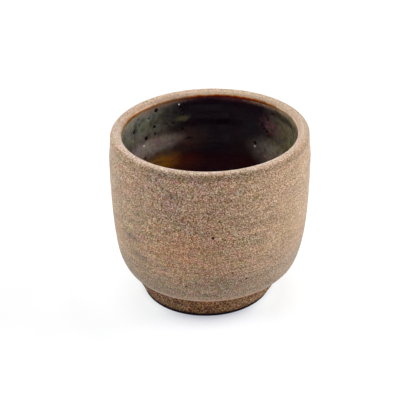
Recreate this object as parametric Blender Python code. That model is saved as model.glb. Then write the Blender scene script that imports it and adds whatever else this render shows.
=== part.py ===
"""Small footed tea cup: a thrown stoneware bowl on a turned foot ring, glazed on the inside only.

Lengths are in metres and +Z is up. The origin is on the table, under the middle of the foot.
Every piece is turned about the Z axis from a profile of (radius, height) points.
"""

import math

import bmesh
import bpy
from mathutils import Vector

# Driving dimensions of the bowl's outside
HEIGHT = 0.0715
WIDEST_RADIUS = 0.0400
WIDEST_HEIGHT = 0.0594
LIP_OUTER_RADIUS = 0.0393
LIP_THICKNESS = 0.0045
LEDGE_RADIUS = 0.0334
LEDGE_HEIGHT = 0.0117
LEDGE_SLOPE = math.radians(38.0)
LEDGE_EDGE = 0.0004

# Driving dimensions of the bowl's inside, measured on the glaze
WALL_THICKNESS = 0.0045
INSIDE_WIDEST_HEIGHT = 0.0580
FLOOR_HEIGHT = 0.0168
FLOOR_FLAT_RADIUS = 0.0130

# Driving dimensions of the foot ring
FOOT_TOP_RADIUS = 0.0322
FOOT_BASE_RADIUS = 0.0268
FOOT_INSIDE_TOP_RADIUS = 0.0195
FOOT_INSIDE_BASE_RADIUS = 0.0208
FOOT_EDGE = 0.0007

# Driving dimensions of the glaze, and of the joints between the pieces
GLAZE_THICKNESS = 0.0005
GLAZE_EDGE_HEIGHT = 0.0012
JOINT_GAP = 0.0003

# Fullness of the curves: the length of each tangent handle
BELLY_UPPER_HANDLE = 0.0283
BELLY_LOWER_HANDLE = 0.0065
SHOULDER_HANDLE = 0.0035
INSIDE_WALL_HANDLE = 0.0320
INSIDE_FLOOR_HANDLE = 0.0230

# Fineness of the turned surfaces
SEGMENTS = 48
BELLY_STEPS = 9
SHOULDER_STEPS = 3
LIP_STEPS = 3
EDGE_STEPS = 2
MERGE_DISTANCE = 0.000001
SHARP_ANGLE = math.radians(40.0)

# The lip is a half round between the bowl's inside and outside
LIP_ROUND = LIP_THICKNESS / 2
LIP_CENTRE = Vector((LIP_OUTER_RADIUS - LIP_ROUND, HEIGHT - LIP_ROUND))
LIP_INNER_RADIUS = LIP_OUTER_RADIUS - LIP_THICKNESS

# Where the glaze ends on the lip's inner side, as angles about the lip's centre
GLAZE_END_ANGLE = math.radians(156.0)
CLAY_START_ANGLE = GLAZE_END_ANGLE - JOINT_GAP / LIP_ROUND
GLAZE_EDGE_BOTTOM = LIP_CENTRE.y + LIP_ROUND * math.sin(GLAZE_END_ANGLE) - GLAZE_EDGE_HEIGHT

# Colours, as linear red, green and blue
STONEWARE = (0.31, 0.21, 0.14)
FOOT_CLAY = (0.13, 0.075, 0.040)
DARK_GLAZE = (0.022, 0.017, 0.015)
RUST_GLAZE = (0.27, 0.10, 0.042)


def bezier(start, start_handle, end_handle, end, steps):
    """Points along a cubic curve, both ends included."""
    points = []
    for i in range(steps + 1):
        t = i / steps
        s = 1.0 - t
        points.append(s**3 * start + 3 * s * s * t * start_handle + 3 * s * t * t * end_handle + t**3 * end)
    return points


def arc(centre, radius, start_angle, end_angle, steps):
    """Points along a circular arc, both ends included."""
    points = []
    for i in range(steps + 1):
        angle = start_angle + (end_angle - start_angle) * i / steps
        points.append(centre + radius * Vector((math.cos(angle), math.sin(angle))))
    return points


def set_back(profile, distance):
    """The same profile moved to its right-hand side by an even distance."""
    normals = []
    for a, b in zip(profile, profile[1:]):
        along = (b - a).normalized()
        normals.append(Vector((along.y, -along.x)))
    moved = []
    for i, point in enumerate(profile):
        before = normals[max(i - 1, 0)]
        after = normals[min(i, len(normals) - 1)]
        middle = (before + after).normalized()
        moved.append(point + middle * distance / middle.dot(after))
    return moved


def inside_wall():
    """The glazed face from the middle of the floor up to the underside of the glaze's edge."""
    floor_middle = Vector((0.0, FLOOR_HEIGHT))
    floor_rim = Vector((FLOOR_FLAT_RADIUS, FLOOR_HEIGHT))
    widest = Vector((WIDEST_RADIUS - WALL_THICKNESS, INSIDE_WIDEST_HEIGHT))
    top = Vector((LIP_INNER_RADIUS, GLAZE_EDGE_BOTTOM - JOINT_GAP))
    belly = bezier(
        floor_rim,
        floor_rim + Vector((INSIDE_FLOOR_HANDLE, 0.0)),
        widest - Vector((0.0, INSIDE_WALL_HANDLE)),
        widest,
        BELLY_STEPS,
    )
    shoulder = bezier(
        widest,
        widest + Vector((0.0, SHOULDER_HANDLE)),
        top - Vector((0.0, SHOULDER_HANDLE)),
        top,
        SHOULDER_STEPS,
    )
    return [floor_middle] + belly + shoulder[1:]


def outside_wall():
    """The bare face from the lip down to the ledge above the foot."""
    lip = LIP_CENTRE + Vector((LIP_ROUND, 0.0))
    widest = Vector((WIDEST_RADIUS, WIDEST_HEIGHT))
    ledge = Vector((LEDGE_RADIUS, LEDGE_HEIGHT + LEDGE_EDGE))
    shoulder = bezier(
        lip,
        lip - Vector((0.0, SHOULDER_HANDLE)),
        widest + Vector((0.0, SHOULDER_HANDLE)),
        widest,
        SHOULDER_STEPS,
    )
    belly = bezier(
        widest,
        widest - Vector((0.0, BELLY_UPPER_HANDLE)),
        ledge + BELLY_LOWER_HANDLE * Vector((math.cos(LEDGE_SLOPE), math.sin(LEDGE_SLOPE))),
        ledge,
        BELLY_STEPS,
    )
    return shoulder[1:] + belly[1:]


def bowl_profile():
    """Up the recess that holds the glaze, over the bare lip, down the outside and in below."""
    glaze_bed = inside_wall() + arc(LIP_CENTRE, LIP_ROUND, math.pi, CLAY_START_ANGLE, EDGE_STEPS)
    recess = set_back(glaze_bed, GLAZE_THICKNESS + JOINT_GAP)
    lip = arc(LIP_CENTRE, LIP_ROUND, CLAY_START_ANGLE, math.pi / 2, LIP_STEPS)
    lip += arc(LIP_CENTRE, LIP_ROUND, math.pi / 2, 0.0, LIP_STEPS)[1:]
    underside = [
        Vector((LEDGE_RADIUS - LEDGE_EDGE, LEDGE_HEIGHT)),
        Vector((FOOT_INSIDE_TOP_RADIUS, LEDGE_HEIGHT)),
        Vector((0.0, LEDGE_HEIGHT)),
    ]
    return recess + lip + outside_wall() + underside


def interior_glaze_profile():
    """A glassy coat of even thickness, closed along its top edge."""
    face = inside_wall()
    back = set_back(face, GLAZE_THICKNESS)
    return face + back[::-1]


def glaze_edge_profile():
    """The narrow band in which the glaze thins out on the lip's inner side."""
    face = [Vector((LIP_INNER_RADIUS, GLAZE_EDGE_BOTTOM))]
    face += arc(LIP_CENTRE, LIP_ROUND, math.pi, GLAZE_END_ANGLE, EDGE_STEPS)
    back = set_back(face, GLAZE_THICKNESS)
    return face + back[::-1]


def foot_ring_profile():
    """A tapered ring with eased edges round its flat base."""
    top = LEDGE_HEIGHT - JOINT_GAP
    outer_corner = Vector((FOOT_BASE_RADIUS - FOOT_EDGE, FOOT_EDGE))
    inner_corner = Vector((FOOT_INSIDE_BASE_RADIUS + FOOT_EDGE, FOOT_EDGE))
    outer_edge = arc(outer_corner, FOOT_EDGE, 0.0, -math.pi / 2, EDGE_STEPS)
    inner_edge = arc(inner_corner, FOOT_EDGE, -math.pi / 2, -math.pi, EDGE_STEPS)
    return (
        [Vector((FOOT_TOP_RADIUS, top))]
        + outer_edge
        + inner_edge
        + [Vector((FOOT_INSIDE_TOP_RADIUS, top))]
    )


def finish(name, colour, roughness):
    """A plain fired surface."""
    material = bpy.data.materials.new(name)
    material.use_nodes = True
    shader = material.node_tree.nodes["Principled BSDF"]
    shader.inputs["Base Color"].default_value = (*colour, 1.0)
    shader.inputs["Roughness"].default_value = roughness
    shader.inputs["Metallic"].default_value = 0.0
    return material


def turn(name, profile, is_ring, material, parent):
    """A solid of revolution, with its own origin on the axis at the profile's lowest height."""
    base = min(point.y for point in profile)
    bm = bmesh.new()
    points = [bm.verts.new((point.x, 0.0, point.y - base)) for point in profile]
    edges = [bm.edges.new(pair) for pair in zip(points, points[1:])]
    if is_ring:
        edges.append(bm.edges.new((points[-1], points[0])))
    bmesh.ops.spin(
        bm,
        geom=points + edges,
        cent=(0.0, 0.0, 0.0),
        axis=(0.0, 0.0, 1.0),
        angle=math.tau,
        steps=SEGMENTS,
        use_merge=True,
    )
    bmesh.ops.remove_doubles(bm, verts=bm.verts, dist=MERGE_DISTANCE)
    bmesh.ops.recalc_face_normals(bm, faces=bm.faces)
    mesh = bpy.data.meshes.new(name)
    bm.to_mesh(mesh)
    bm.free()
    mesh.shade_smooth()
    mesh.set_sharp_from_angle(angle=SHARP_ANGLE)
    mesh.materials.append(material)
    piece = bpy.data.objects.new(name, mesh)
    piece.location = (0.0, 0.0, base)
    piece.parent = parent
    bpy.context.collection.objects.link(piece)
    return piece


def main():
    for leftover in list(bpy.data.objects):
        bpy.data.objects.remove(leftover)
    cup = bpy.data.objects.new("cup_origin", None)
    bpy.context.collection.objects.link(cup)
    turn("bowl", bowl_profile(), False, finish("stoneware", STONEWARE, 0.9), cup)
    turn("foot_ring", foot_ring_profile(), True, finish("foot_clay", FOOT_CLAY, 0.9), cup)
    turn("interior_glaze", interior_glaze_profile(), False, finish("dark_glaze", DARK_GLAZE, 0.12), cup)
    turn("glaze_edge", glaze_edge_profile(), True, finish("rust_glaze", RUST_GLAZE, 0.3), cup)


main()
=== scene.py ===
# %% [markdown]
# # A footed stoneware tea cup
#
# The cup is a small pot without a handle. Its outside is bare clay full of coarse sand, which
# potters call grog. Its inside wears a dark, glossy glaze that ends in a rust-brown line just
# below the lip, and the cup stands on a tapered foot ring of darker clay.
#
# A pot like this is made on a wheel, so its four main pieces are profiles turned round one axis, and
# the biggest grains are scattered over them as small stones. The lesson goes the way the potter
# does: sizes, profiles, turning, clay, foot, glaze, and at last the light.

# %% Load the measured model
import math
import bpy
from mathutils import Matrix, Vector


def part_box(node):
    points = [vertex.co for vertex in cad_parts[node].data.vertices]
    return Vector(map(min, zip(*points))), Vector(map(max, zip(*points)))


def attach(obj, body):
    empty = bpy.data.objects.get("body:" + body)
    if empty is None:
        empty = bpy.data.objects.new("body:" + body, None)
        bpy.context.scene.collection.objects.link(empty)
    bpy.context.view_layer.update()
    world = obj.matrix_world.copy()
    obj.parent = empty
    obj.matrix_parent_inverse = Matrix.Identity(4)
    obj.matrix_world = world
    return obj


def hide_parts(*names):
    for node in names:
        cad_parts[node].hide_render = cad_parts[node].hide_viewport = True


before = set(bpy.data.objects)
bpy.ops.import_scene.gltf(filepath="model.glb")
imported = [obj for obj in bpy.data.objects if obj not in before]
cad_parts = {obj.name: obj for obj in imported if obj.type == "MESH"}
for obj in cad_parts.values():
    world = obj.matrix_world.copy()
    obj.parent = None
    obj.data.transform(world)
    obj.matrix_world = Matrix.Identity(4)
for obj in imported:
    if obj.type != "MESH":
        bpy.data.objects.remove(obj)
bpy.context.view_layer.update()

from types import SimpleNamespace

import bmesh
import bpy
from mathutils import Matrix, Vector

MM = 0.001

# %% [markdown]
# ## Sizes
#
# The measured model says how high and wide each piece is, so those sizes are read from it and not
# typed again. Only what a box can't tell is written here: how thick the lip is, how full the
# curves are, and where the glaze ends.

# %% Read the sizes of the pieces
bowl_low, bowl_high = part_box("bowl")
_, foot_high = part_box("foot_ring")
glaze_low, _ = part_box("interior_glaze")
edge_low, edge_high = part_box("glaze_edge")

HEIGHT = bowl_high.z
WIDEST_RADIUS = bowl_high.x
LEDGE_HEIGHT = bowl_low.z
FOOT_TOP_RADIUS = foot_high.x
GLAZE_THICKNESS = 0.5 * MM
FLOOR_HEIGHT = glaze_low.z + GLAZE_THICKNESS
EDGE_BOTTOM = edge_low.z

LIP_THICKNESS = 4.5 * MM
LIP_OUTER_RADIUS = 39.3 * MM
LIP_ROUND = LIP_THICKNESS / 2
LIP_CENTRE = Vector((LIP_OUTER_RADIUS - LIP_ROUND, HEIGHT - LIP_ROUND))
GLAZE_END_ANGLE = math.radians(156)
WIDEST_HEIGHT = 59.4 * MM
WALL_THICKNESS = 4.5 * MM
INSIDE_WIDEST_HEIGHT = 58.0 * MM
INSIDE_RADIUS = WIDEST_RADIUS - WALL_THICKNESS
FLOOR_FLAT_RADIUS = 13.0 * MM
LEDGE_RADIUS = 33.4 * MM
LEDGE_SLOPE = math.radians(38)
LEDGE_EDGE = 0.4 * MM
FOOT_BASE_RADIUS = 26.6 * MM
FOOT_INSIDE_TOP_RADIUS = 19.5 * MM
FOOT_INSIDE_BASE_RADIUS = 20.8 * MM
FOOT_EDGE = 0.7 * MM
print("height", round(HEIGHT / MM, 1), "mm, widest radius", round(WIDEST_RADIUS / MM, 1), "mm")

# %% [markdown]
# ## The camera
#
# A lens that is long for its distance gives the flat, calm look of a product photograph. The
# distance, the tilt and the slight roll were found by laying the cup's outline over the photograph.
# The camera aims a hair below the middle of the cup, so no lens shift is needed.

# %% Place the camera
PHOTO_SIDE = 420
CUP_MIDDLE_PIXEL = Vector((210.15, 206.80))
PIXELS_PER_METRE = 2452
CAMERA_DISTANCE = 0.500
CAMERA_ELEVATION = math.radians(29.8)
CAMERA_ROLL = math.radians(-1.34)
SENSOR = 36.0

cup_middle = Vector((0, 0, HEIGHT / 2))
camera_back = Vector((0, -math.cos(CAMERA_ELEVATION), math.sin(CAMERA_ELEVATION)))
camera_up = Vector((0, math.sin(CAMERA_ELEVATION), math.cos(CAMERA_ELEVATION)))
aim_shift = (Vector((PHOTO_SIDE / 2, PHOTO_SIDE / 2)) - CUP_MIDDLE_PIXEL) / PIXELS_PER_METRE
aim = cup_middle + Vector((aim_shift.x, 0, 0)) - camera_up * aim_shift.y

camera_data = bpy.data.cameras.new("photo_camera")
camera_data.sensor_width = SENSOR
camera_data.lens = PIXELS_PER_METRE * CAMERA_DISTANCE / PHOTO_SIDE * SENSOR
camera_data.clip_start = 10 * MM
camera = bpy.data.objects.new("photo_camera", camera_data)
bpy.context.collection.objects.link(camera)
camera.location = cup_middle + camera_back * CAMERA_DISTANCE
look = (aim - camera.location).to_track_quat("-Z", "Y").to_matrix()
camera.rotation_euler = (look @ Matrix.Rotation(CAMERA_ROLL, 3, "Z")).to_euler()
bpy.context.scene.camera = camera
print("lens", round(camera_data.lens, 1), "mm")

# %% [markdown]
# ## Profiles
#
# Every piece starts as half of its cross-section: a line of points, each a radius and a height.
# Round stretches are arcs, and the belly is one smooth curve with a tangent handle at each end,
# the way a potter's rib would shape it. Points lie close together where the surface shows and far
# apart where another piece hides it, because each point becomes a whole ring of faces.

# %% Curves for the profiles
SAME_POINT = 0.01 * MM


def bezier(start, start_handle, end_handle, end, spacing):
    """Points along a cubic curve, about as far apart as asked."""
    steps = max(2, round((end - start).length / spacing))
    points = []
    for i in range(steps + 1):
        t = i / steps
        s = 1 - t
        ends = s**3 * start + t**3 * end
        points.append(ends + 3 * s * s * t * start_handle + 3 * s * t * t * end_handle)
    return points


def arc(centre, radius, start_angle, end_angle, spacing):
    """Points along a circular arc, about as far apart as asked."""
    steps = max(2, round(abs(end_angle - start_angle) * radius / spacing))
    points = []
    for i in range(steps + 1):
        angle = start_angle + (end_angle - start_angle) * i / steps
        points.append(centre + radius * Vector((math.cos(angle), math.sin(angle))))
    return points


def straight(start, end, spacing):
    """Points along a straight line, about as far apart as asked."""
    steps = max(1, round((end - start).length / spacing))
    return [start.lerp(end, i / steps) for i in range(steps + 1)]


def joined(*stretches):
    """One line from several, with the points that they share kept once."""
    line = []
    for stretch in stretches:
        line += [p for p in stretch if not line or (p - line[-1]).length > SAME_POINT]
    return line


def set_back(line, distance):
    """The same line moved to its right-hand side."""
    moved = []
    for i, point in enumerate(line):
        along = (line[min(i + 1, len(line) - 1)] - line[max(i - 1, 0)]).normalized()
        moved.append(point + Vector((along.y, -along.x)) * distance)
    return moved


SHOWN = 0.45 * MM
FINE = 0.16 * MM
HIDDEN = 4.0 * MM
UNDER = 1.2 * MM
print("ring spacing where it shows", SHOWN / MM, "mm, where it's hidden", HIDDEN / MM, "mm")

# %% Lines of the inside and the outside
SHOULDER_HANDLE = Vector((0, 3.5 * MM))
FLOOR_HANDLE = Vector((23.0 * MM, 0))
INSIDE_HANDLE = Vector((0, 32.0 * MM))
OUTSIDE_HANDLE = Vector((0, 28.3 * MM))
LEDGE_HANDLE = 6.5 * MM * Vector((math.cos(LEDGE_SLOPE), math.sin(LEDGE_SLOPE)))
INSIDE_FINER = 0.8
OUTSIDE_FINER = 0.85


def inside_line(spacing):
    """The glazed face, from the middle of the floor up to the rust edge."""
    rim = Vector((FLOOR_FLAT_RADIUS, FLOOR_HEIGHT))
    widest = Vector((INSIDE_RADIUS, INSIDE_WIDEST_HEIGHT))
    top = Vector((LIP_OUTER_RADIUS - LIP_THICKNESS, EDGE_BOTTOM))
    return joined(
        straight(Vector((0, FLOOR_HEIGHT)), rim, 2 * spacing),
        bezier(rim, rim + FLOOR_HANDLE, widest - INSIDE_HANDLE, widest, spacing * INSIDE_FINER),
        bezier(widest, widest + SHOULDER_HANDLE, top - SHOULDER_HANDLE, top, spacing),
    )


def outside_line(spacing):
    """The bare face, from the lip down to the ledge."""
    lip = LIP_CENTRE + Vector((LIP_ROUND, 0))
    widest = Vector((WIDEST_RADIUS, WIDEST_HEIGHT))
    ledge = Vector((LEDGE_RADIUS, LEDGE_HEIGHT + LEDGE_EDGE))
    return joined(
        bezier(lip, lip - SHOULDER_HANDLE, widest + SHOULDER_HANDLE, widest, spacing),
        bezier(widest, widest - OUTSIDE_HANDLE, ledge + LEDGE_HANDLE, ledge, spacing * OUTSIDE_FINER),
    )


def radius_at(line, height):
    """How far from the axis a line is where it first passes a height."""
    for a, b in zip(line, line[1:]):
        if min(a.y, b.y) <= height < max(a.y, b.y):
            return a.lerp(b, (height - a.y) / (b.y - a.y)).x


INSIDE = inside_line(SHOWN)
OUTSIDE = outside_line(SHOWN)
print("inside has", len(INSIDE), "points and outside", len(OUTSIDE))

# %% [markdown]
# ## Node trees in a few words
#
# Both the shapes and the finishes are node trees. A handful of small helpers keep the trees short
# to write: one adds a node to the tree that lies on the bench and links it, and the others are sums
# and textures that come up often.

# %% Put a node on the bench
bench = SimpleNamespace(tree=None)


def put(kind, inputs=None, **options):
    """Add a node to the tree on the bench, set or link its inputs, and give its outputs."""
    made = bench.tree.nodes.new(kind)
    for option, value in options.items():
        setattr(made, option, value)
    for key, value in (inputs or {}).items():
        socket = made.inputs[key]
        if isinstance(value, bpy.types.NodeSocket):
            bench.tree.links.new(value, socket)
        elif socket.type == "RGBA" and len(value) == 3:
            socket.default_value = (*value, 1.0)
        else:
            socket.default_value = value
    return made.outputs


# %% Sums, noise and steps
def maths(operation, *values):
    """A number worked out from other numbers."""
    return put("ShaderNodeMath", dict(enumerate(values)), operation=operation)[0]


def times(*values):
    """Numbers multiplied together."""
    total = values[0]
    for value in values[1:]:
        total = maths("MULTIPLY", total, value)
    return total


def vector(operation, *values):
    """A vector, or a length, worked out from other vectors."""
    made = put("ShaderNodeVectorMath", dict(enumerate(values)), operation=operation)
    return made["Value" if operation in ("LENGTH", "DISTANCE", "DOT_PRODUCT") else "Vector"]


def product(*values):
    """Vectors or colours multiplied together."""
    total = values[0]
    for value in values[1:]:
        total = vector("MULTIPLY", total, value)
    return total


def scaled(value, amount):
    """A vector or a colour times a number."""
    return put("ShaderNodeVectorMath", {0: value, "Scale": amount}, operation="SCALE")["Vector"]


def cloudy(place, scale, detail=2.0, roughness=0.5):
    """Soft random values about 0.5, as a number and as a colour."""
    inputs = {"Vector": place, "Scale": scale, "Detail": detail, "Roughness": roughness}
    return put("ShaderNodeTexNoise", inputs).values()


def noise(place, scale, detail=2.0):
    """Soft random values about 0.5, as a number only."""
    return cloudy(place, scale, detail)[0]


def fade(value, start, end, at_start=0.0, at_end=1.0):
    """A smooth step from one number to another while a value goes from start to end."""
    inputs = {"Value": value, "From Min": start, "From Max": end, "To Min": at_start, "To Max": at_end}
    return put("ShaderNodeMapRange", inputs, interpolation_type="SMOOTHSTEP")["Result"]


def xyz(value):
    """The three numbers of a vector."""
    return put("ShaderNodeSeparateXYZ", {"Vector": value}).values()


# %% Begin, end and run a shape's tree
def new_tree(name, **inputs):
    """A Geometry Nodes tree on the bench, with named inputs of each kind, given as sockets."""
    bench.tree = bpy.data.node_groups.new(name, "GeometryNodeTree")
    new_socket = bench.tree.interface.new_socket
    for kind, labels in {"Geometry": ["Geometry"], **inputs, "Material": ["Material"]}.items():
        for label in labels:
            new_socket(label, in_out="INPUT", socket_type="NodeSocket" + kind)
    new_socket("Geometry", in_out="OUTPUT", socket_type="NodeSocketGeometry")
    return put("NodeGroupInput")


def end_tree(geometry, material):
    """Close the tree on the bench: real geometry, wearing its material."""
    real = put("GeometryNodeRealizeInstances", {"Geometry": geometry})["Geometry"]
    worn = put("GeometryNodeSetMaterial", {"Geometry": real, "Material": material})["Geometry"]
    put("NodeGroupOutput", {"Geometry": worn})
    print(bench.tree.name, "has", len(bench.tree.nodes), "nodes")
    return bench.tree


def run_tree(piece, tree, **values):
    """Give the piece this tree with these inputs, and make the result its plain mesh."""
    modifier = piece.modifiers.new(tree.name, "NODES")
    modifier.node_group = tree
    sockets = [item for item in tree.interface.items_tree if item.in_out == "INPUT"]
    identifiers = {socket.name: socket.identifier for socket in sockets}
    for name, value in values.items():
        modifier[identifiers[name.replace("_", " ")]] = value
    graph = bpy.context.evaluated_depsgraph_get()
    mesh = bpy.data.meshes.new_from_object(
        piece.evaluated_get(graph), preserve_all_data_layers=True, depsgraph=graph
    )
    piece.modifiers.remove(modifier)
    piece.data = mesh
    mesh.name = piece.name


def new_piece(name, data):
    """A mesh or a lamp in the scene, at the origin."""
    piece = bpy.data.objects.new(name, data)
    bpy.context.collection.objects.link(piece)
    return piece


# %% [markdown]
# ## The turning tree
#
# A Screw modifier could turn a profile too, but a thrown pot is never quite true. This tree
# carries the profile round a circle with Curve to Mesh and then does what hands and clay do: it
# leans the pot a little, sets the foot slightly off its middle, cuts the ledge a little askew, drags
# fine rings round the wall and leaves soft dimples. One tree serves all four pieces, each with its
# own amounts.

# %% What hands and tools do to the clay
RUBBED_FLAT = 0.8 * MM
WAVES_ROUND = 20.0
ASKEW_LOW = (0.5 * MM, 4 * MM)
ASKEW_HIGH = (LEDGE_HEIGHT + 9 * MM, LEDGE_HEIGHT)


def arrow(x=0.0, y=0.0, z=0.0):
    """A vector made of three numbers."""
    return put("ShaderNodeCombineXYZ", {"X": x, "Y": y, "Z": z})["Vector"]


def hand_made(given, place):
    """How far each point strays sideways because the pot leans and its foot is off centre."""
    height = xyz(place)[2]
    lean = times(maths("SUBTRACT", height, given["Lean Height"]), given["Lean"])
    slip = times(fade(height, 0.0, given["Lean Height"], 1.0, 0.0), given["Foot Slip"])
    return arrow(x=maths("SUBTRACT", lean, slip))


def cut_askew(given, place):
    """How far points near the ledge stray because it was cut off its middle and out of level."""
    x, _, height = xyz(place)
    near = times(fade(height, *ASKEW_LOW), fade(height, *ASKEW_HIGH))
    aside = times(near, given["Ledge Shift"])
    return arrow(x=aside, z=times(near, given["Ledge Skew"], x))


def tool_marks(given, place):
    """Rings and dimples along the normal, none on the base, which is rubbed flat."""
    seeded = vector("ADD", place, given["Seed"])
    stretch = arrow(WAVES_ROUND, WAVES_ROUND, maths("DIVIDE", 1.0, given["Ring Spacing"]))
    rings = noise(product(seeded, stretch), 1.0)
    dimples = noise(seeded, maths("DIVIDE", 1.0, given["Dimple Size"]), detail=3.0)
    ring_height = times(maths("SUBTRACT", rings, 0.5), given["Ring Depth"])
    dimple_height = times(maths("SUBTRACT", dimples, 0.5), given["Dimple Depth"])
    marks = maths("ADD", ring_height, dimple_height)
    off_base = fade(xyz(place)[2], 0.0, RUBBED_FLAT)
    normal = put("GeometryNodeInputNormal")["Normal"]
    return scaled(normal, times(marks, off_base))


# %% Build the turning tree
MERGE_DISTANCE = 0.002 * MM
MARKS = ["Ring Depth", "Ring Spacing", "Dimple Depth", "Dimple Size"]


def turning_tree():
    """A profile carried round a circle, then moved as the hands and tools moved the clay."""
    given = new_tree(
        "turned_on_the_wheel",
        Int=["Segments"],
        Float=["Lean", "Lean Height", "Foot Slip", "Ledge Shift", "Ledge Skew"] + MARKS,
        Vector=["Seed"],
    )
    profile = put("GeometryNodeMeshToCurve", {"Mesh": given["Geometry"]})["Curve"]
    turn = {"Translation": (-WIDEST_RADIUS, 0, 0), "Rotation": (math.pi / 2, 0, 0)}
    upright = put("GeometryNodeTransform", {"Geometry": profile, **turn})["Geometry"]
    round_trip = {"Resolution": given["Segments"], "Radius": WIDEST_RADIUS}
    circle = put("GeometryNodeCurvePrimitiveCircle", round_trip)["Curve"]
    wall = put("GeometryNodeCurveToMesh", {"Curve": circle, "Profile Curve": upright})["Mesh"]
    merge = {"Geometry": wall, "Distance": MERGE_DISTANCE}
    closed = put("GeometryNodeMergeByDistance", merge)["Geometry"]
    place = put("GeometryNodeInputPosition")["Position"]
    astray = vector("ADD", hand_made(given, place), cut_askew(given, place))
    offset = vector("ADD", tool_marks(given, place), astray)
    moved = put("GeometryNodeSetPosition", {"Geometry": closed, "Offset": offset})["Geometry"]
    smooth = put("GeometryNodeSetShadeSmooth", {"Geometry": moved})["Geometry"]
    return end_tree(smooth, given["Material"])


TURNING = turning_tree()

# %% Turn a profile into a piece
LEAN = math.tan(math.radians(0.93))
BOWL_SLIP = 0.5 * MM
FOOT_SLIP = 1.25 * MM
LEDGE_SHIFT = 0.45 * MM
LEDGE_SKEW = math.tan(math.radians(0.7))


def turned(name, line, material, is_ring, segments, slip, rings, dimples, seed):
    """A piece turned from its profile; rings and dimples are each a depth and a size in mm."""
    edges = [(i, i + 1) for i in range(len(line) - 1)]
    if is_ring:
        edges.append((len(line) - 1, 0))
    mesh = bpy.data.meshes.new(name)
    mesh.from_pydata([(p.x, 0, p.y) for p in line], edges, [])
    piece = new_piece(name, mesh)
    run_tree(
        piece, TURNING, Segments=segments, Lean=LEAN, Lean_Height=HEIGHT / 2, Foot_Slip=slip,
        Ledge_Shift=LEDGE_SHIFT, Ledge_Skew=LEDGE_SKEW, Ring_Depth=rings[0] * MM,
        Ring_Spacing=rings[1] * MM, Dimple_Depth=dimples[0] * MM, Dimple_Size=dimples[1] * MM,
        Seed=seed, Material=material,
    )
    solid = bmesh.new()
    solid.from_mesh(piece.data)
    volume = solid.calc_volume(signed=True)
    open_edges = sum(not edge.is_manifold for edge in solid.edges)
    solid.free()
    millilitres = round(volume / (10 * MM) ** 3, 1)
    print(name, len(piece.data.polygons), "faces,", millilitres, "ml,", open_edges, "open edges")
    return piece


# %% [markdown]
# ## Finishes in a few words
#
# A finish is a node tree that ends in a Principled shader. It reads the place on the object, here
# turned into millimetres, so every colour belongs to a spot on the pot. Colours are laid over one
# another like washes, and each wash has a mask that says where it lies and how strong it is.

# %% Helpers for finishes
TOP = HEIGHT / MM
WHITE = (1.0, 1.0, 1.0)
HALF = (0.5, 0.5, 0.5)
LEVEL = (1, 1, 0)
FAR = 9.0  # radii of a spot


def finish(name):
    """A new, empty material on the bench, and the place on the object in mm."""
    material = bpy.data.materials.new(name)
    material.use_nodes = True
    bench.tree = material.node_tree
    bench.tree.nodes.clear()
    return material, scaled(put("ShaderNodeTexCoord")["Object"], 1 / MM)


def wear(material, **inputs):
    """Close the material on the bench: a shader with these inputs."""
    inputs = {name.replace("_", " "): value for name, value in inputs.items()}
    shader = put("ShaderNodeBsdfPrincipled", inputs)["BSDF"]
    put("ShaderNodeOutputMaterial", {"Surface": shader})
    print(material.name, "has", len(bench.tree.nodes), "nodes")
    return material


def ramp(value, *stops):
    """A colour from a row of colours, each at a place from 0 to 1."""
    colour = put("ShaderNodeValToRGB", {"Fac": value})["Color"]
    row = colour.node.color_ramp.elements
    row[0].position = stops[0][0]
    row[1].position = stops[-1][0]
    for place, _ in stops[1:-1]:
        row.new(place)
    for element, (_, paint) in zip(row, stops):
        element.color = (*paint, 1.0)
    return colour


def over(amount, under, paint):
    """One colour laid over another by an amount from 0 to 1."""
    # A Mix node has sockets for every kind of value; 6, 7 and the output 2 are those for colours.
    return put("ShaderNodeMix", {0: amount, 6: under, 7: paint}, data_type="RGBA")[2]


def coats(colour, *rows):
    """Several paints laid over a colour, each by its own amount."""
    for amount, paint in rows:
        colour = over(amount, colour, paint)
    return colour


def about_one(value, swing):
    """A random value turned into a brightness that swings about 1."""
    return maths("MULTIPLY_ADD", maths("SUBTRACT", value, 0.5), swing, 1.0)


def tinted(colour, swing):
    """A random colour turned into a tint that swings about white."""
    centred = vector("SUBTRACT", colour, HALF)
    return vector("MULTIPLY_ADD", centred, (swing, swing, swing), WHITE)


def bumped(relief, strength, depth):
    """A normal that follows a fine relief."""
    inputs = {"Strength": strength, "Distance": depth, "Height": relief}
    return put("ShaderNodeBump", inputs)["Normal"]


# %% Helpers for masks and speckle
def dusty(place, size, swing, hue, detail=1.0):
    """A speckle about white, of which some share is hue and the rest is brightness."""
    return tinted(over(hue, *cloudy(place, 1 / size, detail)), swing)


def drifting(place, size, swing):
    """A faint drift of hue about white: greener here, pinker there."""
    return tinted(cloudy(place, 1 / size, 3.0, 0.85)[1], swing)


def stirred(place, size, amount):
    """A place moved about at random, so that edges of patches don't run true."""
    swirl = vector("SUBTRACT", cloudy(place, 1 / size)[1], HALF)
    return vector("ADD", place, scaled(swirl, amount))


def on_wall(line, angle, height):
    """A place on a wall in mm: degrees round from the back towards the right, and a height."""
    turn = math.radians(angle)
    radius = radius_at(line, height * MM) / MM
    lean = LEAN * (height - TOP / 2)
    return Vector((radius * math.sin(turn) + lean, radius * math.cos(turn), height))


def patch(place, centre, size, firm):
    """1 in the middle of an egg-shaped region and 0 outside it."""
    from_centre = vector("DIVIDE", vector("SUBTRACT", place, centre), size)
    return fade(vector("LENGTH", from_centre), firm, 1.0, 1.0, 0.0)


def dab(colour, place, centre, size, strength, paint, firm=0.0):
    """Paint laid over a colour in an egg-shaped region."""
    return over(times(patch(place, centre, size, firm), strength), colour, paint)


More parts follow.
